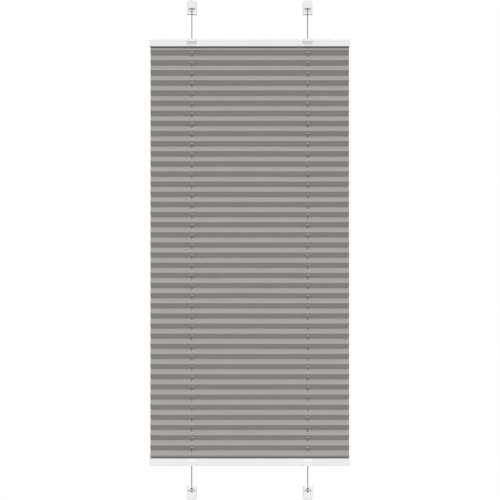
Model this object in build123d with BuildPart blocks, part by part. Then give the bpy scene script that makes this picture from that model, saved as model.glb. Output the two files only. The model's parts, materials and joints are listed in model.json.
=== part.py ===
from build123d import *
import os
from math import sqrt

# Pleated blind on two taut cords, hung between four clamps that hook over a window sash.
#
# Frame: origin on the sash's top edge, in the plane of its front face, midway between the cords.
# +X is to the right, the room is towards -Y and +Z is up. Sizes are millimetres.
#
# Each clamp and each rail is drawn in a frame of its own whose +Z points away from the fabric, so
# the bottom pieces are the top ones turned half a turn about the room's depth.

# ---------------------------------------------------------------- window and overall size
sash_height = 989.0  # between the two edges that the clamps hook over
sash_thickness = 20.0
blind_width = 400.0  # over the rails' end caps
cord_spacing = 231.0
top_rail_drop = 74.7  # sash's top edge to the top rail's outer face
bottom_rail_rise = 65.3  # sash's bottom edge to the bottom rail's outer face
rail_stand_off = 3.0  # sash to the back of the rails
slip = 0.05  # gap between faces that slide on each other
play = 0.2  # gap around a part that drops into another

# ---------------------------------------------------------------- cords
cord_dia = 1.8
cord_knot_dia = 3.0
cord_bore_dia = 2.6  # holes that the cord runs through

# ---------------------------------------------------------------- rails
rail_depth = 20.0
rail_height = 14.0
rail_wall = 1.2
rail_corner = 0.8
groove_mouth = 9.0  # slot on the fabric's side, between the lips
groove_height = 2.6  # room behind the lips, for the fabric strip's head
strip_head = 2.0
cap_thickness = 1.5
cap_plug = 6.0

# ---------------------------------------------------------------- cord guides and their brakes
guide_width = 20.0
guide_plate = 0.9
nozzle_height = 1.3
nozzle_dia = 6.0
spigot_dia = 7.0
spigot_gap = 3.2  # between the spigot's end and the chamber's floor, where the brake works
grip_reach = 5.0  # how far the finger grip stands in front of the rail
grip_ledge = 5.4
grip_tail_width = 13.0
grip_knee_width = 15.5
grip_knee_reach = 1.2  # where the hollow under the ledge ends
grip_knee_rise = 4.6
grip_tail_reach = 0.5
grip_tail_rise = 1.6  # grip's tip above the rail's fabric side
guide_back_lip = 0.8
back_lip_width = 10.0
guide_corner = 2.0
grip_round = 1.2
grip_shoulder = 1.0  # ledge's end to the top of the tail
grip_undercut = 0.6
nozzle_taper = 20.0  # degrees
spring_thickness = 0.3
spring_height = 2.8
spring_flat = 1.6  # straight stretch that bears on the cord
spring_run = 8.0  # cord to the foot's bend
spring_foot = 1.5

# ---------------------------------------------------------------- pleated fabric
fabric_margin = 2.0  # rail's end to fabric's edge
fabric_thickness = 0.3
pleat_face = 20.0  # crease to crease, measured on the cloth
pleat_pitch_wanted = 20.2
first_crease = 6.5  # rail to the nearest front crease
bond_width = 5.0  # strip of cloth bonded flat under the rail
punched_dia = 4.0

# ---------------------------------------------------------------- clamps
housing_width = 19.0
housing_height = 28.5
housing_crown = 3.6  # how far the housing reaches past the sash's edge
housing_front = 4.0  # cord to the housing's front
housing_wall = 1.3  # least wall in front of the strap's tunnel
housing_arch = 5.5
housing_foot = 1.5
housing_edge = 1.2
plate_thickness = 1.2
plate_width = 16.0
plate_reach = 24.5  # sash's edge to the plate's far end
plate_round = 2.0
shelf_width = 12.0
shelf_reach = 10.0
ear_length = 8.0
ear_depth = 4.8
ear_start = 12.0
strap_width = 11.0
strap_thickness = 1.2
strap_slot = 3.4
strap_end_land = 1.3
strap_bend = 1.6
strap_nose = 2.0
hook_leg = 14.0
hook_in = 4.0  # travel towards a thinner sash
hook_out = 4.0  # travel towards a thicker sash
pad_thickness = 1.0
pad_length = 11.0
pad_width = 10.0
pad_start = 2.0
pad_round = 1.0
screw_dia = 3.0
screw_head_dia = 5.4
screw_head = 1.0
screw_round = 0.3
screw_from_sash = 4.5
screw_fit = 0.02
screw_tip = 0.5
recess_length = 3.6
recess_width = 0.8
recess_depth = 0.6
collar_dia = 4.6
collar_height = 2.8
notch_width = 10.0  # thumb recess at the housing's crown
notch_height = 3.2
notch_z = 1.0
notch_depth = 0.7
pocket_behind = 1.6  # cord to the floor of the toggle's pocket
bar_width = 13.0
bar_top = 11.8  # sash's edge to the toggle pocket's outer wall
bar_height = 5.4
stem_width = 5.0
stem_height = 4.0
bridge_height = 1.9
mouth_width = 4.0
foot_gap = 12.0
foot_rise = 0.7
toggle_dia = 2.2
toggle_length = 11.0
toggle_play = 0.1
toggle_chamfer = 0.25

# ---------------------------------------------------------------- sizes that follow
cord_y = -(rail_stand_off + rail_depth / 2)
cord_x = cord_spacing / 2
curtain_height = sash_height - top_rail_drop - bottom_rail_rise - 2 * rail_height
pleats = round((curtain_height - 2 * first_crease) / pleat_pitch_wanted)
pleat_pitch = (curtain_height - 2 * first_crease) / pleats
fold_depth = sqrt(pleat_face**2 - (pleat_pitch / 2) ** 2)
fabric_width = blind_width - 2 * fabric_margin
top_rail_z = -top_rail_drop - rail_height  # fabric side of the top rail
bottom_rail_z = top_rail_z - curtain_height

rail_length = blind_width - 2 * cap_thickness
chamber_depth = rail_depth - 2 * rail_wall
chamber_floor = 2 * rail_wall + groove_height
chamber_height = rail_height - rail_wall - chamber_floor
spigot_end = chamber_floor + spigot_gap

strap_front = -(screw_from_sash + hook_out + strap_slot / 2 + strap_end_land)
tunnel_end = strap_front - hook_in - play
housing_back = -plate_thickness
housing_face = min(cord_y - housing_front, tunnel_end - housing_wall)
pocket_floor = cord_y + pocket_behind
toggle_z = -(bar_top + bar_height) + toggle_dia / 2
knot_z = toggle_z + (toggle_dia + cord_knot_dia) / 2

os.makedirs("parts", exist_ok=True)


def save(piece, name):
    """Names a finished piece and writes its STEP file."""
    piece.part.label = name
    export_step(piece.part, f"parts/{name}.step")


# ---------------------------------------------------------------- frames and outlines
def frame_at(x, y, z, out):
    """A frame at a point, its +Z up for out = 1 and down for out = -1, its +Y always to the back."""
    return Plane(origin=(x, y, z), x_dir=(out, 0, 0), z_dir=(0, 0, out))


def facing(frame, y=0.0):
    """The frame's X-Z plane at depth y, seen from the room: it extrudes towards the room."""
    return Plane(frame.from_local_coords((0, y, 0)), x_dir=frame.x_dir, z_dir=-frame.y_dir)


def across(frame, x=0.0):
    """The frame's Y-Z plane at x, its first axis towards the back: it extrudes along the frame's X."""
    return Plane(frame.from_local_coords((x, 0, 0)), x_dir=frame.y_dir, z_dir=frame.x_dir)


def span(low_x, high_x, low_y, high_y, mode=Mode.ADD):
    """A rectangle between two corners of the sketch."""
    with Locations(((low_x + high_x) / 2, (low_y + high_y) / 2)):
        Rectangle(high_x - low_x, high_y - low_y, mode=mode)


def ribbon(points, thickness):
    """The outline of a strip of even thickness that follows a line of points, mitred at its turns."""
    line = [Vector(*p) for p in points]
    runs = [(b - a).normalized() for a, b in zip(line, line[1:])]
    sides = ([], [])
    for i, point in enumerate(line):
        before, after = runs[max(i - 1, 0)], runs[min(i, len(runs) - 1)]
        mitre = Vector(-before.Y - after.Y, before.X + after.X).normalized()
        reach = thickness / 2 / mitre.dot(Vector(-before.Y, before.X))
        sides[0].append(point + mitre * reach)
        sides[1].append(point - mitre * reach)
    return sides[0] + sides[1][::-1]


# ---------------------------------------------------------------- rails
def rail_outline():
    """The rail's outer section, its fabric side at zero."""
    span(-rail_depth / 2, rail_depth / 2, 0, rail_height)
    fillet(vertices(), rail_corner)


def make_rail(frame, name):
    """Aluminium extrusion: a chamber for the cord guides, and a lipped groove for the fabric strip."""
    inside = chamber_depth / 2
    groove_top = rail_wall + groove_height
    with BuildPart() as rail:
        with BuildSketch(across(frame)):
            rail_outline()
            span(-inside, inside, chamber_floor, chamber_floor + chamber_height, mode=Mode.SUBTRACT)
            span(-inside, inside, rail_wall, groove_top, mode=Mode.SUBTRACT)
            span(-groove_mouth / 2, groove_mouth / 2, 0, rail_wall, mode=Mode.SUBTRACT)
        extrude(amount=rail_length / 2, both=True)
        with BuildSketch(frame.offset(groove_top)):
            with Locations((-cord_x, 0), (cord_x, 0)):
                Circle(punched_dia / 2)
        extrude(amount=rail_wall, mode=Mode.SUBTRACT)
        with BuildSketch(frame.offset(rail_height)):
            with Locations((-cord_x, 0), (cord_x, 0)):
                Circle(spigot_dia / 2 + play)
        extrude(amount=-rail_wall, mode=Mode.SUBTRACT)
    save(rail, name)


def make_cap(frame, side, name):
    """Moulded end cap with a plug that fills the rail's chamber."""
    plug_half = chamber_depth / 2 - play
    end = across(frame, side * rail_length / 2)
    with BuildPart() as cap:
        with BuildSketch(end):
            rail_outline()
        extrude(amount=side * cap_thickness)
        with BuildSketch(end):
            span(-plug_half, plug_half, chamber_floor + play, chamber_floor + chamber_height - play)
        extrude(amount=-side * cap_plug)
    save(cap, name)


def make_strip(frame, name):
    """Plastic strip that the cloth is bonded to. Its head rests on the lips of the rail's groove."""
    head_half = chamber_depth / 2 - play
    neck_half = groove_mouth / 2 - play
    with BuildPart() as strip:
        with BuildSketch(across(frame)):
            span(-head_half, head_half, rail_wall, rail_wall + strip_head)
            span(-neck_half, neck_half, 0, rail_wall)
        extrude(amount=fabric_width / 2, both=True)
        with BuildSketch(frame):
            with Locations((-cord_x, 0), (cord_x, 0)):
                Circle(punched_dia / 2)
        extrude(amount=rail_wall + strip_head, mode=Mode.SUBTRACT)
    save(strip, name)


def make_guide(frame, name):
    """Cord guide moulded in one with the finger grip: a plate clipped over the rail's outer face,
    a nozzle and a spigot around the cord, and a corbel-shaped grip down the rail's front."""
    front = -rail_depth / 2
    back = rail_depth / 2 + guide_back_lip
    plate_top = rail_height + guide_plate
    ledge_under = plate_top - grip_ledge
    half = guide_width / 2
    with BuildPart() as guide:
        with BuildSketch(frame.offset(rail_height)):
            span(-half, half, front, back)
            fillet(vertices().group_by(Axis.Y)[-1], guide_corner)
        extrude(amount=guide_plate)
        with BuildSketch(frame.offset(plate_top)):
            span(-half, half, front - grip_reach, front)
            fillet(vertices().group_by(Axis.Y)[0], grip_round)
        extrude(amount=-grip_ledge)
        with BuildSketch(frame.offset(ledge_under)):
            span(grip_shoulder - half, half - grip_shoulder, front - grip_reach + grip_undercut, front)
        with BuildSketch(frame.offset(grip_knee_rise)):
            span(-grip_knee_width / 2, grip_knee_width / 2, front - grip_knee_reach, front)
        with BuildSketch(frame.offset(grip_tail_rise)):
            span(-grip_tail_width / 2, grip_tail_width / 2, front - grip_tail_reach, front)
        loft(ruled=True)
        with BuildSketch(frame.offset(plate_top)):
            span(-back_lip_width / 2, back_lip_width / 2, rail_depth / 2, back)
        extrude(amount=-grip_ledge)
        with BuildSketch(frame.offset(plate_top)):
            Circle(nozzle_dia / 2)
        extrude(amount=nozzle_height, taper=nozzle_taper)
        with BuildSketch(frame.offset(rail_height)):
            Circle(spigot_dia / 2)
        extrude(amount=chamber_floor - rail_height)
        with BuildSketch(frame.offset(chamber_floor)):
            span(-spigot_dia / 2, spigot_dia / 2, -cord_dia / 2 - slip, spigot_dia / 2)
        extrude(amount=spigot_gap, mode=Mode.SUBTRACT)
        with BuildSketch(frame.offset(spigot_end)):
            Circle(cord_bore_dia / 2)
        extrude(amount=rail_height + guide_plate + nozzle_height, mode=Mode.SUBTRACT)
    save(guide, name)


def make_spring(frame, name):
    """Brake spring: a bowed leaf between the chamber's back wall and the cord, which it presses
    against the flat of the guide's spigot."""
    at_wall = (chamber_depth - spring_thickness) / 2
    at_cord = cord_dia / 2 + slip + spring_thickness / 2
    foot = spring_run + spring_foot
    line = [
        (-foot, at_wall),
        (-spring_run, at_wall),
        (-spring_flat / 2, at_cord),
        (spring_flat / 2, at_cord),
        (spring_run, at_wall),
        (foot, at_wall),
    ]
    with BuildPart() as spring:
        with BuildSketch(frame.offset(chamber_floor)):
            Polygon(*ribbon(line, spring_thickness), align=None)
        extrude(amount=spring_height)
    save(spring, name)


# ---------------------------------------------------------------- cloth and cords
def make_fabric(name):
    """One sheet pleated in a zigzag, each end folded under and bonded flat to its strip. Punched
    holes let the cords through the middle of every pleat face."""
    slope = fold_depth / (pleat_pitch / 2)
    half_sheet = fabric_thickness / 2
    fold_y = -fold_depth / 2 + (first_crease - half_sheet) * slope
    line = [(fold_y - bond_width, -half_sheet), (fold_y, -half_sheet)]
    for pleat in range(pleats):
        front_z = -first_crease - pleat * pleat_pitch
        line.append((-fold_depth / 2, front_z))
        line.append((fold_depth / 2, front_z - pleat_pitch / 2))
    line.append((-fold_depth / 2, first_crease - curtain_height))
    line.append((fold_y, half_sheet - curtain_height))
    line.append((fold_y - bond_width, half_sheet - curtain_height))
    frame = frame_at(0, cord_y, top_rail_z, 1)
    with BuildPart() as fabric:
        with BuildSketch(across(frame)):
            Polygon(*ribbon(line, fabric_thickness), align=None)
        extrude(amount=fabric_width / 2, both=True)
        with BuildSketch(frame):
            with Locations((-cord_x, 0), (cord_x, 0)):
                Circle(punched_dia / 2)
        extrude(amount=-curtain_height, mode=Mode.SUBTRACT)
    save(fabric, name)


def make_cord(x, name):
    """Taut cord from one clamp to the other, with a knot behind the toggle at each end."""
    low = -sash_height - knot_z
    with BuildPart() as cord:
        with BuildSketch(Plane.XY.offset(low)):
            with Locations((x, cord_y)):
                Circle(cord_dia / 2)
        extrude(amount=knot_z - low)
        with Locations((x, cord_y, low), (x, cord_y, knot_z)):
            Sphere(cord_knot_dia / 2)
    save(cord, name)


# ---------------------------------------------------------------- clamps
def make_clamp_plate(frame, name):
    """Pressed steel plate on the sash's face. Its shelf carries the hook's strap and the screw's
    threaded collar, and its two ears hold the housing."""
    ear_low = -ear_start - ear_length
    half = plate_width / 2
    with BuildPart() as plate:
        with BuildSketch(facing(frame)):
            span(-half, half, -plate_reach, -slip)
            fillet(vertices().group_by(Axis.Y)[0], plate_round)
        extrude(amount=plate_thickness)
        with BuildSketch(frame.offset(-slip)):
            span(-shelf_width / 2, shelf_width / 2, -shelf_reach, 0)
        extrude(amount=-plate_thickness)
        with BuildSketch(frame.offset(-slip - plate_thickness)):
            with Locations((0, -screw_from_sash)):
                Circle(collar_dia / 2)
        extrude(amount=-collar_height)
        with BuildSketch(facing(frame, -plate_thickness)):
            span(half - plate_thickness, half, ear_low, -ear_start)
            span(-half, plate_thickness - half, ear_low, -ear_start)
        extrude(amount=ear_depth)
        with BuildSketch(frame.offset(-slip)):
            with Locations((0, -screw_from_sash)):
                Circle(screw_dia / 2 + screw_fit)
        extrude(amount=-plate_thickness - collar_height, mode=Mode.SUBTRACT)
    save(plate, name)


def make_hook(frame, name):
    """Steel strap bent over the sash's edge and down behind it, slotted for the lock screw."""
    leg_front = sash_thickness + pad_thickness
    leg_back = leg_front + strap_thickness
    slot_y = -screw_from_sash + (hook_in - hook_out) / 2
    with BuildPart() as hook:
        with BuildSketch(across(frame, -strap_width / 2)):
            span(strap_front, leg_back, 0, strap_thickness)
            span(leg_front, leg_back, -hook_leg, strap_thickness)
            fillet(vertices().group_by(Axis.X)[-1].sort_by(Axis.Y)[-1], strap_bend)
        extrude(amount=strap_width)
        fillet(hook.edges().filter_by(Axis.Z).group_by(Axis.Y)[0], strap_nose)
        with BuildSketch(frame):
            with Locations((0, slot_y)):
                SlotOverall(hook_in + hook_out + strap_slot, strap_slot, rotation=90)
        extrude(amount=strap_thickness, mode=Mode.SUBTRACT)
    save(hook, name)


def make_pad(frame, name):
    """Rubber pad bonded to the hook's leg, against the back of the sash."""
    low = -pad_start - pad_length
    with BuildPart() as pad:
        with BuildSketch(facing(frame, sash_thickness + pad_thickness)):
            span(-pad_width / 2, pad_width / 2, low, -pad_start)
            fillet(vertices(), pad_round)
        extrude(amount=pad_thickness)
    save(pad, name)


def make_screw(frame, name):
    """Lock screw: its low head holds the strap down on the shelf."""
    seat = strap_thickness + slip
    length = seat + slip + plate_thickness + collar_height + screw_tip
    with BuildPart() as screw:
        with BuildSketch(frame.offset(seat)):
            with Locations((0, -screw_from_sash)):
                Circle(screw_head_dia / 2)
        extrude(amount=screw_head)
        fillet(screw.edges().group_by(Axis.Z)[-1 if frame.z_dir.Z > 0 else 0], screw_round)
        with BuildSketch(frame.offset(seat)):
            with Locations((0, -screw_from_sash)):
                Circle(screw_dia / 2)
        extrude(amount=-length)
        with BuildSketch(frame.offset(seat + screw_head)):
            with Locations((0, -screw_from_sash)):
                Rectangle(recess_length, recess_width)
                Rectangle(recess_width, recess_length)
        extrude(amount=-recess_depth, mode=Mode.SUBTRACT)
    save(screw, name)


def make_housing(frame, name):
    """White moulded shoe over the plate: arched at its outer end, with a T-shaped pocket that the
    cord's toggle drops into and a mouth that the cord leaves by."""
    half = housing_width / 2
    foot_z = housing_crown - housing_height
    shelf_under = -slip - plate_thickness
    ear_low = -ear_start - ear_length
    bar_low = -bar_top - bar_height
    stem_low = bar_low - stem_height
    bridge_low = stem_low - bridge_height
    with BuildPart() as housing:
        with BuildSketch(facing(frame, housing_back)) as outline:
            span(-half, half, foot_z, housing_crown)
            fillet(outline.vertices().group_by(Axis.Y)[-1], housing_arch)
            fillet(outline.vertices().group_by(Axis.Y)[0], housing_foot)
        extrude(amount=housing_back - housing_face)
        fillet(housing.edges().group_by(Axis.Y)[0], housing_edge)
        with BuildSketch(facing(frame, housing_back)):
            span(-strap_width / 2 - play, strap_width / 2 + play, 0, strap_thickness + play)
            span(-shelf_width / 2 - play, shelf_width / 2 + play, shelf_under - play, 0)
        extrude(amount=housing_back - tunnel_end, mode=Mode.SUBTRACT)
        with BuildSketch(facing(frame, housing_face + notch_depth)):
            with Locations((0, notch_z)):
                Ellipse(notch_width / 2, notch_height / 2)
        extrude(amount=notch_depth, mode=Mode.SUBTRACT)
        with BuildSketch(frame.offset(strap_thickness)):
            with Locations((0, -screw_from_sash)):
                Circle(screw_head_dia / 2 + play)
        extrude(amount=housing_crown, mode=Mode.SUBTRACT)
        with BuildSketch(frame.offset(shelf_under)):
            with Locations((0, -screw_from_sash)):
                Circle(collar_dia / 2 + play)
        extrude(amount=-collar_height - screw_tip - play, mode=Mode.SUBTRACT)
        with BuildSketch(facing(frame, housing_back)):
            ear_in, ear_out = plate_width / 2 - plate_thickness - slip, plate_width / 2 + slip
            span(ear_in, ear_out, ear_low - slip, slip - ear_start)
            span(-ear_out, -ear_in, ear_low - slip, slip - ear_start)
        extrude(amount=ear_depth + play, mode=Mode.SUBTRACT)
        with BuildSketch(facing(frame, pocket_floor)):
            span(-bar_width / 2, bar_width / 2, bar_low, -bar_top)
            span(-stem_width / 2, stem_width / 2, stem_low, bar_low)
            span(-mouth_width / 2, mouth_width / 2, foot_z, bridge_low)
        extrude(amount=pocket_floor - housing_face, mode=Mode.SUBTRACT)
        with BuildSketch(facing(frame, housing_back)):
            span(-foot_gap / 2, foot_gap / 2, foot_z, foot_z + foot_rise)
        extrude(amount=housing_back - housing_face, mode=Mode.SUBTRACT)
        with BuildSketch(frame.offset(bridge_low)):
            with Locations((0, cord_y)):
                Circle(cord_bore_dia / 2)
        extrude(amount=bridge_height, mode=Mode.SUBTRACT)
    save(housing, name)


def make_toggle(frame, name):
    """Cross pin that the cord's end passes through and is knotted behind."""
    with BuildPart() as toggle:
        with BuildSketch(across(frame, -toggle_length / 2)):
            with Locations((cord_y, toggle_z)):
                Circle(toggle_dia / 2)
        extrude(amount=toggle_length)
        chamfer(toggle.edges().filter_by(GeomType.CIRCLE), toggle_chamfer)
        with BuildSketch(frame.offset(toggle_z - toggle_dia)):
            with Locations((0, cord_y)):
                Circle(cord_dia / 2 + toggle_play)
        extrude(amount=2 * toggle_dia, mode=Mode.SUBTRACT)
    save(toggle, name)


# ---------------------------------------------------------------- the whole blind
sides = (("left", -cord_x, -1), ("right", cord_x, 1))
ends = (("top", 0, top_rail_z, 1), ("bottom", -sash_height, bottom_rail_z, -1))

for end, edge_z, rail_z, out in ends:
    rail_frame = frame_at(0, cord_y, rail_z, out)
    make_rail(rail_frame, f"{end}_rail_extrusion")
    make_strip(rail_frame, f"{end}_fabric_strip")
    for side, x, sign in sides:
        make_cap(rail_frame, sign * out, f"{end}_rail_{side}_cap")
        guide_frame = frame_at(x, cord_y, rail_z, out)
        make_guide(guide_frame, f"{end}_{side}_cord_guide")
        make_spring(guide_frame, f"{end}_{side}_brake_spring")
        clamp = frame_at(x, 0, edge_z, out)
        make_clamp_plate(clamp, f"{end}_{side}_clamp_plate")
        make_hook(clamp, f"{end}_{side}_clamp_hook")
        make_pad(clamp, f"{end}_{side}_clamp_pad")
        make_screw(clamp, f"{end}_{side}_clamp_screw")
        make_housing(clamp, f"{end}_{side}_clamp_housing")
        make_toggle(clamp, f"{end}_{side}_cord_toggle")

make_fabric("pleated_fabric")
for side, x, _ in sides:
    make_cord(x, f"{side}_cord")

print(f"{pleats} pleats of {pleat_pitch:.2f} mm, {fold_depth:.2f} mm deep")
print(f"cord {sash_height + 2 * knot_z:.1f} mm from knot to knot")
end_faces = 2 * first_crease / (pleat_pitch / 2)
cloth = (2 * pleats + end_faces) * pleat_face + 2 * bond_width
print(f"cloth {fabric_width:.0f} x {cloth:.0f} mm flat")
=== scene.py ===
"""Looks of a free-hanging pleated blind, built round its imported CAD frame. Metres throughout.

X runs to the right, -Y into the room and +Z up along the cords. The frame holds the rails, the
clamps and the guides, which get their finishes here. The cloth and the cords are modelled here.
"""

import json
import math

import bpy
import numpy as np
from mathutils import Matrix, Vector


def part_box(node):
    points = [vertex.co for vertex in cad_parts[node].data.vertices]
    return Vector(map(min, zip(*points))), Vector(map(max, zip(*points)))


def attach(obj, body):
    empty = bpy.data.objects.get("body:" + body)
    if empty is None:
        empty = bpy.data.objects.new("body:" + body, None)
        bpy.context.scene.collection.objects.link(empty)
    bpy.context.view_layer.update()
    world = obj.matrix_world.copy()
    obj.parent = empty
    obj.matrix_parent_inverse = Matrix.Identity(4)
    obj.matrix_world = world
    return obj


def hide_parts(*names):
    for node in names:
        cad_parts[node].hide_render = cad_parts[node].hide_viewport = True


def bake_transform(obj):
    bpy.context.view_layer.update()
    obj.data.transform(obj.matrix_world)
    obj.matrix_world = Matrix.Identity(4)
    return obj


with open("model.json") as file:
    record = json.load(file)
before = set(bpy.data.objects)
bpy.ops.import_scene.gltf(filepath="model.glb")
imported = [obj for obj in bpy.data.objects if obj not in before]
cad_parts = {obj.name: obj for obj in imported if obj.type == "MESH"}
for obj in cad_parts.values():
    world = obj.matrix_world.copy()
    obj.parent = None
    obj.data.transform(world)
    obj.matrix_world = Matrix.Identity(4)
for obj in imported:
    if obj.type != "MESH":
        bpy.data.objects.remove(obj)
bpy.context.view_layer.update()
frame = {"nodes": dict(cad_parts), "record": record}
NODES = frame["nodes"]
MM = 0.001

# ---------------------------------------------------------------- sizes, from the frame
CORD_X = sum(c.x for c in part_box("right_cord")) / 2
CORD_Y = sum(c.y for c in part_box("right_cord")) / 2
CORD_LOW, CORD_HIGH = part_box("right_cord")[0].z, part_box("right_cord")[1].z
CLOTH_LOW, CLOTH_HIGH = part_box("pleated_fabric")
CLOTH_HALF_WIDTH = CLOTH_HIGH.x
CLOTH_TOP, CLOTH_FOOT = CLOTH_HIGH.z, CLOTH_LOW.z

# ---------------------------------------------------------------- sizes that the part's source states
CORD_DIA = 1.8 * MM
KNOT_DIA = 3.0 * MM
CLOTH_THICKNESS = 0.3 * MM
PLEATS = 40
PLEAT_FACE = 20.0 * MM
FIRST_CREASE = 6.5 * MM  # rail to the nearest front crease
BOND_WIDTH = 5.0 * MM  # strip of cloth bonded flat under the rail
PITCH = (CLOTH_TOP - CLOTH_FOOT - 2 * FIRST_CREASE) / PLEATS
FOLD_DEPTH = math.sqrt(PLEAT_FACE**2 - (PITCH / 2) ** 2)
MIDDLE_Z = CLOTH_TOP - FIRST_CREASE - PLEATS / 2 * PITCH  # the middle front crease

# ---------------------------------------------------------------- the cloth's own mesh
CREASE_RADIUS = 0.42 * MM
BOND_FOLD_RADIUS = 0.2 * MM
CREASE_STEPS = 6
SHARP_EDGE = 40  # degrees, between a skin and a rim
CREASE_SUPPORT = 0.35 * MM  # row of points beside a crease that keeps the face flat
PUNCH_RADIUS = 2.0 * MM
PUNCH_PATCH = 3.1 * MM  # half the square of points round a punched hole
BOND_PUNCH_RADIUS = 1.15 * MM
BOND_PUNCH_PATCH = 1.4 * MM
PATCH_PLACES = (-1.0, -0.5, 0.0, 0.5, 1.0)  # rows and columns of such a square, in half squares
PATCH_STEPS = len(PATCH_PLACES) - 1
ROW_CLEARANCE = 0.1 * MM  # least distance from the square to the next row
CLOTH_COLUMNS = 12  # between the two holes, and in proportion beside them
CREASE_WANDER = 0.1 * MM  # how far a crease strays from its line
# waves that it strays in: size, radians a metre across and along the sheet, and phase
WANDER_IN = ((1.0, 31, 97, 0.0), (0.6, 73, -211, 1.3))
WANDER_UP = ((1.0, 23, -151, 0.7), (0.6, 59, 263, 0.0))

# ---------------------------------------------------------------- camera and lights
CAMERA_DISTANCE = 6.3
CAMERA_DROP = 0.1  # below the point it looks at
VIEW_HEIGHT = 0.9955  # at the rails' front
SENSOR = 36.0
VIEW_CENTRE_X, VIEW_CENTRE_Z = 0.5 * MM, -0.4948
RAIL_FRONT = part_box("top_rail_extrusion")[0].y
FLOOR_Z = -1.6
FLOOR_HALF = 6.0
WORLD_LIGHT = 0.32
FILL_SUN, FILL_ELEVATION = 0.24, -10.0
KEY_SUN, KEY_ELEVATION = 0.62, 34.0
REAR_SUN, REAR_ELEVATION = 0.45, 30.0
SUN_SOFTNESS = 12.0  # degrees across


# ---------------------------------------------------------------- materials
class Finish:
    """A material whose nodes hang on one Principled shader, with small helpers to add them."""

    def __init__(self, name, colour, roughness, metallic=0.0, specular=0.5):
        self.material = bpy.data.materials.new(name)
        self.material.use_nodes = True
        self.tree = self.material.node_tree
        self.shader = self.tree.nodes["Principled BSDF"]
        self.colour = (*colour, 1.0)
        self.set("Base Color", self.colour)
        self.set("Roughness", roughness)
        self.set("Metallic", metallic)
        self.set("Specular IOR Level", specular)

    def set(self, socket, value):
        self.shader.inputs[socket].default_value = value

    def node(self, kind, inputs=None, **settings):
        """Adds a node. An input is a value, or a socket to link from."""
        made = self.tree.nodes.new("ShaderNode" + kind)
        for key, value in settings.items():
            setattr(made, key, value)
        for key, value in (inputs or {}).items():
            if isinstance(value, bpy.types.NodeSocket):
                self.tree.links.new(value, made.inputs[key])
            else:
                made.inputs[key].default_value = value
        return made

    def place(self, kind="Object", stretch=(1.0, 1.0, 1.0)):
        """The point on the piece, in metres, stretched along its axes."""
        where = self.node("TexCoord").outputs[kind]
        return self.node("Mapping", {"Vector": where, "Scale": stretch}).outputs["Vector"]

    def noise(self, where, size, detail=3.0):
        """Noise with features of about that size in metres."""
        inputs = {"Vector": where, "Scale": 1.0 / size, "Detail": detail, "Roughness": 0.55}
        return self.node("TexNoise", inputs).outputs["Fac"]

    def between(self, value, low, high, start=0.3, end=0.7):
        """Value rescaled so that start gives low and end gives high."""
        inputs = {"Value": value, "From Min": start, "From Max": end, "To Min": low, "To Max": high}
        return self.node("MapRange", inputs).outputs["Result"]

    def maths(self, operation, a, b=0.0):
        return self.node("Math", {0: a, 1: b}, operation=operation).outputs[0]

    def shade(self, *factors):
        """Multiplies the base colour by each factor, which varies over the surface."""
        factor = factors[0]
        for other in factors[1:]:
            factor = self.maths("MULTIPLY", factor, other)
        made = self.node("VectorMath", {0: self.colour[:3], "Scale": factor}, operation="SCALE")
        self.link(made.outputs["Vector"], "Base Color")

    def link(self, output, socket):
        self.tree.links.new(output, self.shader.inputs[socket])

    def bump(self, height, depth, strength=1.0):
        """Relief of that depth in metres under the shader's normal."""
        inputs = {"Height": height, "Distance": depth, "Strength": strength}
        self.link(self.node("Bump", inputs).outputs["Normal"], "Normal")


def coated_aluminium():
    """White powder coat: a fine orange peel, slightly uneven in tone and gloss."""
    f = Finish("coated_aluminium", (0.750, 0.750, 0.750), 0.42, specular=0.4)
    where = f.place()
    peel = f.noise(where, 0.9 * MM)
    f.shade(f.between(f.noise(where, 60 * MM), 0.985, 1.01), f.between(peel, 0.992, 1.006))
    f.link(f.between(f.noise(where, 8 * MM), 0.38, 0.48), "Roughness")
    f.bump(peel, 0.012 * MM)
    return f.material


def moulded_plastic(name, colour, roughness, grain):
    """Satin moulding with a fine spark-eroded grain and faint flow marks."""
    f = Finish(name, colour, roughness)
    where = f.place()
    fine = f.noise(where, grain, 2.0)
    flow = f.noise(f.place(stretch=(1.0, 1.0, 0.3)), 7 * MM)
    f.shade(f.between(flow, 0.985, 1.012), f.between(fine, 0.99, 1.005))
    f.link(f.between(flow, roughness - 0.05, roughness + 0.07), "Roughness")
    f.bump(fine, 0.01 * MM)
    f.set("Subsurface Weight", 0.05)
    f.set("Subsurface Scale", 0.6 * MM)
    return f.material


def painted_steel():
    """White enamel on sheet steel, glossier than the rails, with a slight ripple."""
    f = Finish("painted_steel", (0.780, 0.780, 0.775), 0.3)
    where = f.place()
    ripple = f.noise(where, 2.2 * MM)
    f.shade(f.between(f.noise(where, 12 * MM), 0.975, 1.015))
    f.link(f.between(ripple, 0.24, 0.36), "Roughness")
    f.bump(ripple, 0.02 * MM)
    f.set("Coat Weight", 0.25)
    f.set("Coat Roughness", 0.15)
    return f.material


def zinc_steel():
    """Bright zinc plate: a mottled, fine-grained grey."""
    f = Finish("zinc_steel", (0.620, 0.630, 0.640), 0.34, metallic=0.9)
    where = f.place()
    mottle = f.noise(where, 1.6 * MM, 4.0)
    f.shade(f.between(mottle, 0.86, 1.06))
    f.link(f.between(f.noise(where, 0.5 * MM), 0.28, 0.44), "Roughness")
    f.bump(mottle, 0.008 * MM)
    return f.material


def spring_steel():
    """Rolled spring strip with long faint scratches."""
    f = Finish("spring_steel", (0.550, 0.560, 0.580), 0.26, metallic=1.0)
    scratch = f.noise(f.place(stretch=(0.06, 1.0, 1.0)), 0.12 * MM)
    f.shade(f.between(scratch, 0.9, 1.06))
    f.link(f.between(scratch, 0.22, 0.36), "Roughness")
    f.bump(scratch, 0.004 * MM)
    return f.material


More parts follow.
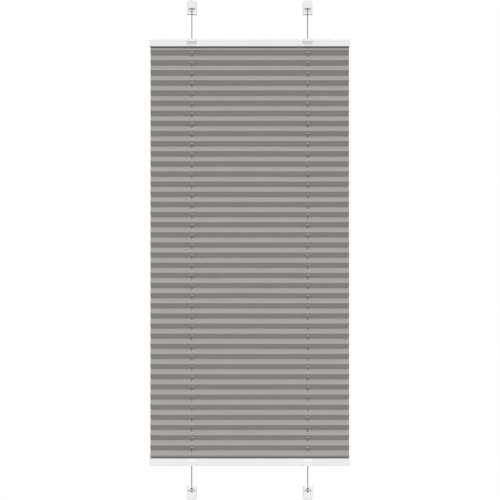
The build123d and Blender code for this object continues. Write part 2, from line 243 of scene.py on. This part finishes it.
def pad_rubber():
    """Matt rubber with a fine moulded grain."""
    f = Finish("pad_rubber", (0.300, 0.300, 0.300), 0.85, specular=0.3)
    where = f.place()
    grain = f.noise(where, 0.35 * MM)
    f.shade(f.between(f.noise(where, 3 * MM), 0.9, 1.08), f.between(grain, 0.95, 1.03))
    f.link(f.between(grain, 0.78, 0.92), "Roughness")
    f.bump(grain, 0.03 * MM)
    return f.material


def braided_cord():
    """Grey polyester braid. Its strands are in the mesh; this adds the yarn's fibres."""
    f = Finish("braided_cord", (0.140, 0.140, 0.142), 0.72, specular=0.3)
    fibre = f.noise(f.place(stretch=(1.0, 1.0, 0.25)), 0.08 * MM)
    f.shade(f.between(fibre, 0.8, 1.15), f.between(f.noise(f.place(), 15 * MM), 0.94, 1.05))
    f.link(f.between(fibre, 0.64, 0.82), "Roughness")
    f.bump(fibre, 0.02 * MM)
    f.set("Sheen Weight", 0.1)
    return f.material


def pleated_cloth():
    """Woven polyester, stiffened: plain weave with slubs, faint bars of uneven dye along the weft,
    and painted shade along the cut side edges, which are drawn a little darker. It reads the
    sheet's own coordinates, across in U and along in V, so it follows the cloth as the pleats close."""
    f = Finish("pleated_cloth", (0.424, 0.407, 0.391), 0.8, specular=0.25)
    where = f.place("UV")
    parts = f.node("SeparateXYZ", {0: where}).outputs
    thread = 2 * math.pi / (0.42 * MM)
    slub = f.between(f.noise(where, 1.5 * MM), 0.7, 1.3)
    warp = f.maths("SINE", f.maths("MULTIPLY", parts["X"], thread))
    weft = f.maths("SINE", f.maths("MULTIPLY", parts["Y"], thread))
    weave = f.maths("MULTIPLY", f.maths("MULTIPLY", warp, weft), slub)
    bars = f.noise(f.place("UV", (0.04, 1.0, 1.0)), 2.5 * MM, 2.0)
    cloud = f.noise(where, 35 * MM)
    from_middle = f.maths("ABSOLUTE", parts["X"])
    # painted shade: the cloth is drawn up to 10 % darker within 1.6 mm of its cut side edges
    edge = f.between(from_middle, 1.0, 0.9, CLOTH_HALF_WIDTH - 1.6 * MM, CLOTH_HALF_WIDTH)
    f.shade(
        f.between(weave, 0.97, 1.03, -1.0, 1.0),
        f.between(bars, 0.985, 1.015),
        f.between(cloud, 0.985, 1.015),
        edge,
    )
    f.link(f.between(slub, 0.74, 0.88, 0.7, 1.3), "Roughness")
    f.bump(weave, 0.03 * MM, 0.6)
    f.set("Sheen Weight", 0.08)
    f.set("Sheen Roughness", 0.5)
    return f.material


FINISHES = {
    "coated_aluminium": coated_aluminium(),
    "white_plastic": moulded_plastic("white_plastic", (0.755, 0.755, 0.755), 0.4, 0.3 * MM),
    "strip_plastic": moulded_plastic("strip_plastic", (0.760, 0.760, 0.750), 0.5, 0.5 * MM),
    "painted_steel": painted_steel(),
    "zinc_steel": zinc_steel(),
    "spring_steel": spring_steel(),
    "pad_rubber": pad_rubber(),
    "cord": braided_cord(),
    "pleated_cloth": pleated_cloth(),
}


def finish_the_frame():
    """Gives each CAD node the finish of its slot in the record."""
    for part in frame["record"]["subparts"]:
        for slot in NODES[part["node"]].material_slots:
            slot.material = FINISHES[part["material_slot"]]


# ---------------------------------------------------------------- meshes
def new_piece(name, points, faces, slot):
    """A piece of the object with its slot's finish."""
    mesh = bpy.data.meshes.new(name)
    mesh.from_pydata([tuple(p) for p in points], [], faces)
    mesh.materials.append(FINISHES[slot])
    piece = bpy.data.objects.new(name, mesh)
    bpy.context.scene.collection.objects.link(piece)
    return piece


# ---------------------------------------------------------------- cloth
def cloth_line():
    """Corners of the sheet's middle line in (y, z), from the top bond to the bottom one."""
    front, back = CORD_Y - FOLD_DEPTH / 2, CORD_Y + FOLD_DEPTH / 2
    half = CLOTH_THICKNESS / 2
    fold_y = front + (FIRST_CREASE - half) * FOLD_DEPTH / (PITCH / 2)
    line = [(fold_y - BOND_WIDTH, CLOTH_TOP - half), (fold_y, CLOTH_TOP - half)]
    for pleat in range(PLEATS):
        z = CLOTH_TOP - FIRST_CREASE - pleat * PITCH
        line += [(front, z), (back, z - PITCH / 2)]
    line.append((front, CLOTH_FOOT + FIRST_CREASE))
    line += [(fold_y, CLOTH_FOOT + half), (fold_y - BOND_WIDTH, CLOTH_FOOT + half)]
    return [np.array(p) for p in line]


def crease_arc(before, corner, after, radius):
    """Points and normals round a crease, and how much of each face the arc takes."""
    into, out = corner - before, after - corner
    into, out = into / np.linalg.norm(into), out / np.linalg.norm(out)
    turn = math.acos(float(np.clip(into @ out, -1, 1)))
    reach = radius * math.tan(turn / 2)
    side = math.copysign(1.0, into[0] * out[1] - into[1] * out[0])
    normal = side * np.array([-into[1], into[0]])  # towards the arc's centre
    centre = corner - into * reach + normal * radius
    rows = []
    for step in range(CREASE_STEPS + 1):
        angle = side * turn * step / CREASE_STEPS
        c, s = math.cos(angle), math.sin(angle)
        spoke = np.array([-normal[0] * c + normal[1] * s, -normal[0] * s - normal[1] * c])
        rows.append((centre + spoke * radius, -side * spoke))
    return rows, reach


def cloth_rows(first, last):
    """Rows of the sheet between two corners of its line, each with its point, its normal, the
    length of cloth above it, the half size of the patches round the holes there, and its place
    in the patch: 0 to 4 across it, or None."""
    line = cloth_line()
    ends = len(line) - 1
    rows, length = [], 0.0

    def add(point, normal, patch, place=None):
        nonlocal length
        if rows:
            length += float(np.linalg.norm(point - rows[-1]["point"]))
        rows.append(
            {"point": point, "normal": normal, "length": length, "patch": patch, "place": place}
        )

    def arc_at(index):
        bond = index in (1, ends - 1)
        radius = BOND_FOLD_RADIUS if bond else CREASE_RADIUS
        return crease_arc(line[index - 1], line[index], line[index + 1], radius)

    for face in range(first, last):
        start, end = line[face], line[face + 1]
        span = float(np.linalg.norm(end - start))
        along = (end - start) / span
        normal = np.array([-along[1], along[0]])
        near_bond = face in (0, 1, ends - 2, ends - 1)
        patch = BOND_PUNCH_PATCH if near_bond else PUNCH_PATCH
        cut_in = 0.0 if face == 0 else arc_at(face)[1]
        cut_out = 0.0 if face == ends - 1 else arc_at(face + 1)[1]
        hole = (CORD_Y - start[0]) / along[0]
        if face > 0:
            arc, _ = arc_at(face)
            half = CREASE_STEPS // 2
            for point, facing in arc[half if face == first else 0 :]:
                add(point, facing, patch)
        else:
            add(start, normal, patch)
        stops = [(cut_in + CREASE_SUPPORT, None)]
        stops += [(hole + place * patch, k) for k, place in enumerate(PATCH_PLACES)]
        stops.append((span - cut_out - CREASE_SUPPORT, None))
        for at, place in stops:
            if place is None and abs(at - hole) < patch + ROW_CLEARANCE:
                continue
            add(start + along * at, normal, patch, place)
        if face == ends - 1:
            add(end, normal, patch)
        elif face == last - 1:
            arc, _ = arc_at(face + 1)
            for point, facing in arc[: CREASE_STEPS // 2 + 1]:
                add(point, facing, patch)
    return rows


def cloth_columns():
    """Columns across the sheet: (x, k) where k is None, or how many half patches the column
    stands from the hole at x."""
    between = np.linspace(-CORD_X, CORD_X, CLOTH_COLUMNS + 1)[1:-1]
    step = 2 * CORD_X / CLOTH_COLUMNS
    beside = round((CLOTH_HALF_WIDTH - CORD_X) / step) + 1
    outside = np.linspace(CLOTH_HALF_WIDTH, CORD_X, beside + 1)[:-1]
    columns = [(-x, None) for x in outside]
    columns += [(-CORD_X, place) for place in PATCH_PLACES]
    columns += [(x, None) for x in between]
    columns += [(CORD_X, place) for place in PATCH_PLACES]
    columns += [(x, None) for x in outside[::-1]]
    return columns


def waves(kinds, x, length):
    """A sum of waves over the sheet, between -1 and 1."""
    total, most = 0.0, 0.0
    for size, across, along, phase in kinds:
        total += size * math.sin(x * across + length * along + phase)
        most += size
    return total / most


def wander(x, length, z):
    """How far a point of the cloth strays in (y, z), fading out at the bonds and the middle."""
    nearest = min(abs(z - held) for held in (CLOTH_TOP, MIDDLE_Z, CLOTH_FOOT))
    reach = CREASE_WANDER * min(1.0, nearest / FIRST_CREASE / 2)
    return reach * waves(WANDER_IN, x, length), reach * waves(WANDER_UP, x, length)


def patch_border():
    """The places round a patch's edge as (row, column), each counted from 0 to PATCH_STEPS."""
    steps, far = range(PATCH_STEPS), PATCH_STEPS
    there = [(0, k) for k in steps] + [(k, far) for k in steps]
    return there + [(far, far - k) for k in steps] + [(far - k, 0) for k in steps]


def thicken(middle, normals, faces):
    """A surface as a closed mesh: two skins a cloth's thickness apart, with rims along every open
    edge. Gives the points, the faces, and the number in the surface that each point comes from."""
    count = len(middle)
    lift = normals * CLOTH_THICKNESS / 2
    skins = np.vstack([middle + lift, middle - lift])
    edges = dict.fromkeys((a, b) for face in faces for a, b in zip(face, face[1:] + face[:1]))
    solid = list(faces) + [tuple(v + count for v in reversed(face)) for face in faces]
    solid += [(b, a, a + count, b + count) for a, b in edges if (b, a) not in edges]
    used = sorted({v for face in solid for v in face})
    renumber = {v: i for i, v in enumerate(used)}
    return skins[used], [tuple(renumber[v] for v in face) for face in solid], [v % count for v in used]


def cloth_sheet(name, first, last):
    """A stretch of the sheet between two corners of its line, punched for the cords, and for each
    of its points the height of the sheet's middle line there."""
    rows, columns = cloth_rows(first, last), cloth_columns()
    middle, normals, sheet_uv, heights = [], [], [], []

    def add(x, row, along=0.0):
        """A point at x on a row's face, that far along the cloth from the row."""
        down = np.array([row["normal"][1], -row["normal"][0]])
        y, z = row["point"] + down * along
        length = row["length"] + along
        dy, dz = wander(x, length, z)
        middle.append((x, y + dy, z + dz))
        normals.append((0.0, *row["normal"]))
        sheet_uv.append((x, length))
        heights.append(z)
        return len(middle) - 1

    grid = [
        [add(x if k is None else x + k * row["patch"], row) for x, k in columns] for row in rows
    ]
    patch_starts = [i for i, (_, k) in enumerate(columns) if k == -1]
    in_patch = {start + step for start in patch_starts for step in range(PATCH_STEPS)}
    faces = []
    for r in range(len(rows) - 1):
        holed = rows[r]["place"] in range(PATCH_STEPS)
        for c in range(len(columns) - 1):
            if not (holed and c in in_patch):
                a, b = grid[r], grid[r + 1]
                faces.append((a[c], a[c + 1], b[c + 1], b[c]))
    border, to_middle = patch_border(), PATCH_STEPS // 2
    for r, row in enumerate(rows):
        if row["place"] != to_middle:
            continue
        radius = BOND_PUNCH_RADIUS if row["patch"] == BOND_PUNCH_PATCH else PUNCH_RADIUS
        for c in patch_starts:
            x = columns[c][0]
            outer = [grid[r - to_middle + i][c + j] for i, j in border]
            rim = []
            for i, j in border:
                angle = math.atan2(i - to_middle, j - to_middle)
                rim.append(add(x + radius * math.cos(angle), row, radius * math.sin(angle)))
            for k in range(len(border)):
                n = (k + 1) % len(border)
                faces.append((outer[k], outer[n], rim[n], rim[k]))

    points, solid, origin = thicken(np.array(middle), np.array(normals), faces)
    piece = new_piece(name, points, solid, "pleated_cloth")
    mesh = piece.data
    layer = mesh.uv_layers.new(name="sheet")
    corner = np.zeros(len(mesh.loops), int)
    mesh.loops.foreach_get("vertex_index", corner)
    layer.data.foreach_set("uv", np.array(sheet_uv)[origin][corner].ravel())
    mesh.shade_smooth()
    mesh.set_sharp_from_angle(angle=math.radians(SHARP_EDGE))
    return piece, np.array(heights)[origin]


def follow_the_rail(piece):
    """Bakes the piece's transform into its mesh."""
    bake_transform(piece)


def hang_the_cloth():
    """The sheet in two pieces that meet in the middle front crease, which stays where it is."""
    last = len(cloth_line()) - 1
    middle = 2 + PLEATS  # the middle front crease, among the line's corners
    upper, upper_heights = cloth_sheet("cloth_upper_half", 0, middle)
    lower, lower_heights = cloth_sheet("cloth_lower_half", middle, last)
    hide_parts("pleated_fabric")
    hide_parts("pleated_fabric")
    follow_the_rail(upper)
    follow_the_rail(lower)


# ---------------------------------------------------------------- cords
CORD_SIDES = 16
BRAID_LAY = 5.0 * MM  # length of one full turn of a strand
BRAID_STRANDS = 4  # in each direction
BRAID_RELIEF = 0.05 * MM
BRAID_STEP = 0.62 * MM
KNOT_RINGS = 12
CORD_TIP = 0.02 * MM  # radius at a knot's far end


def string_cord(side, x):
    """A taut braided cord from clamp to clamp, with the knot behind each toggle."""
    radius, knot = CORD_DIA / 2 - BRAID_RELIEF, KNOT_DIA / 2
    knots = (CORD_LOW + knot, CORD_HIGH - knot)
    steps = round((CORD_HIGH - CORD_LOW - 4 * knot) / BRAID_STEP)
    inner = np.linspace(CORD_LOW + 2 * knot, CORD_HIGH - 2 * knot, steps + 1)
    low_knot = np.linspace(CORD_LOW, inner[0], KNOT_RINGS + 1)[:-1]
    high_knot = np.linspace(inner[-1], CORD_HIGH, KNOT_RINGS + 1)[1:]
    points, rings = [], []
    for z in [*low_knot, *inner, *high_knot]:
        from_knot = min(abs(z - middle) for middle in knots)
        bulge = math.sqrt(max(knot**2 - from_knot**2, 0.0))
        ring = []
        for k in range(CORD_SIDES):
            angle = 2 * math.pi * k / CORD_SIDES
            turn = 2 * math.pi * z / BRAID_LAY
            left = math.cos(BRAID_STRANDS * (angle + turn))
            right = math.cos(BRAID_STRANDS * (angle - turn))
            beyond = z < knots[0] or z > knots[1]
            core = bulge if beyond else max(radius, bulge)
            r = max(core + BRAID_RELIEF * left * right * min(1.0, core / radius), CORD_TIP)
            ring.append(len(points))
            points.append((x + r * math.cos(angle), CORD_Y + r * math.sin(angle), z))
        rings.append(ring)
    faces = []
    for a, b in zip(rings, rings[1:]):
        for k in range(CORD_SIDES):
            n = (k + 1) % CORD_SIDES
            faces.append((a[k], a[n], b[n], b[k]))
    faces += [tuple(reversed(rings[0])), tuple(rings[-1])]
    piece = new_piece(f"{side}_braided_cord", points, faces, "cord")
    piece.data.shade_smooth()
    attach(piece, "root")
    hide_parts(f"{side}_cord")


# ---------------------------------------------------------------- stage
def aim(thing, toward):
    """Turns a light or camera to look along a direction."""
    thing.rotation_mode = "QUATERNION"
    thing.rotation_quaternion = toward.to_track_quat("-Z", "Y")


def set_camera():
    """Looks straight at the blind, from a little below its middle."""
    data = bpy.data.cameras.new("camera")
    camera = bpy.data.objects.new("camera", data)
    bpy.context.scene.collection.objects.link(camera)
    camera.location = (VIEW_CENTRE_X, RAIL_FRONT - CAMERA_DISTANCE, VIEW_CENTRE_Z - CAMERA_DROP)
    aim(camera, Vector((VIEW_CENTRE_X, RAIL_FRONT, VIEW_CENTRE_Z)) - camera.location)
    data.sensor_width = SENSOR
    data.lens = SENSOR * math.hypot(CAMERA_DISTANCE, CAMERA_DROP) / VIEW_HEIGHT
    data.clip_start, data.clip_end = 0.1, 100.0
    bpy.context.scene.camera = camera


def add_sun(name, irradiance, azimuth, elevation):
    """A soft sun. Irradiance is in units of pi, azimuth 0 is in front of the blind."""
    data = bpy.data.lights.new(name, "SUN")
    data.energy = irradiance * math.pi
    data.angle = math.radians(SUN_SOFTNESS)
    sun = bpy.data.objects.new(name, data)
    bpy.context.scene.collection.objects.link(sun)
    a, e = math.radians(azimuth), math.radians(elevation)
    aim(sun, Vector((-math.sin(a) * math.cos(e), math.cos(a) * math.cos(e), -math.sin(e))))


def light_the_stage():
    """White surroundings that light the object less brightly than they look, and three suns."""
    world = bpy.data.worlds.new("studio")
    bpy.context.scene.world = world
    world.use_nodes = True
    tree = world.node_tree
    background = tree.nodes["Background"]
    path = tree.nodes.new("ShaderNodeLightPath")
    level = tree.nodes.new("ShaderNodeMapRange")
    level.inputs["To Min"].default_value = WORLD_LIGHT
    level.inputs["To Max"].default_value = 1.0
    tree.links.new(path.outputs["Is Camera Ray"], level.inputs["Value"])
    tree.links.new(level.outputs["Result"], background.inputs["Strength"])
    background.inputs["Color"].default_value = (1, 1, 1, 1)
    add_sun("fill", FILL_SUN, 0, FILL_ELEVATION)
    add_sun("key", KEY_SUN, 0, KEY_ELEVATION)
    add_sun("rear", REAR_SUN, 180, REAR_ELEVATION)
    bpy.context.scene.view_settings.view_transform = "Standard"


def lay_the_floor():
    """A pale matt floor below the blind."""
    floor = Finish("floor", (0.780, 0.780, 0.775), 0.9, specular=0.2)
    floor.shade(floor.between(floor.noise(floor.place(), 0.4), 0.99, 1.01))
    mesh = bpy.data.meshes.new("floor")
    h = FLOOR_HALF
    mesh.from_pydata([(-h, -h, 0), (h, -h, 0), (h, h, 0), (-h, h, 0)], [], [(0, 1, 2, 3)])
    mesh.materials.append(floor.material)
    plane = bpy.data.objects.new("floor", mesh)
    plane.location.z = FLOOR_Z
    plane.visible_diffuse = False  # the floor is seen, but doesn't light the cloth from below
    plane.visible_shadow = False  # nor does it stand in the way of the fill
    bpy.context.scene.collection.objects.link(plane)


set_camera()
light_the_stage()
lay_the_floor()
finish_the_frame()
hang_the_cloth()
for side, x in (("left", -CORD_X), ("right", CORD_X)):
    string_cord(side, x)
